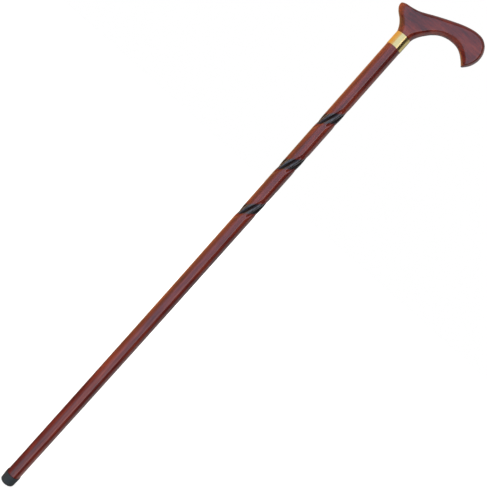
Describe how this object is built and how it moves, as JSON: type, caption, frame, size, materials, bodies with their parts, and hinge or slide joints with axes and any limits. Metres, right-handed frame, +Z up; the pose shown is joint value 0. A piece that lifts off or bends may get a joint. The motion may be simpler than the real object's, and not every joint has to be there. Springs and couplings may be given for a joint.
{
  "type": "walking stick",
  "caption": "Wooden derby-handled walking stick with a brass collar, carved dark twists in the shaft and a pull-off rubber ferrule.",
  "frame": {"origin": "centre of the flat tread under the rubber ferrule", "axes": "+Z up the shaft, +X from the shaft towards the beak of the handle, Y across the handle's thickness"},
  "size_m": [0.1291, 0.0236, 0.914],
  "materials": {
    "handle_wood": "gloss lacquer over red-brown stain",
    "shaft_wood": "gloss lacquer over red-brown stain, twists stained black",
    "brass": "polished",
    "steel": "zinc plated",
    "rubber": "moulded matt"
  },
  "bodies": {
    "stick": {"shaft": "shaft_wood", "handle": "handle_wood", "collar": "brass", "handle_stud": "steel"},
    "ferrule_cap": {"ferrule": "rubber", "ferrule_washer": "steel"}
  },
  "joints": [
    {"name": "ferrule_pull", "type": "slide", "parent": "stick", "child": "ferrule_cap", "axis": [0, 0, -1], "range_m": [0, 0.014]}
  ]
}
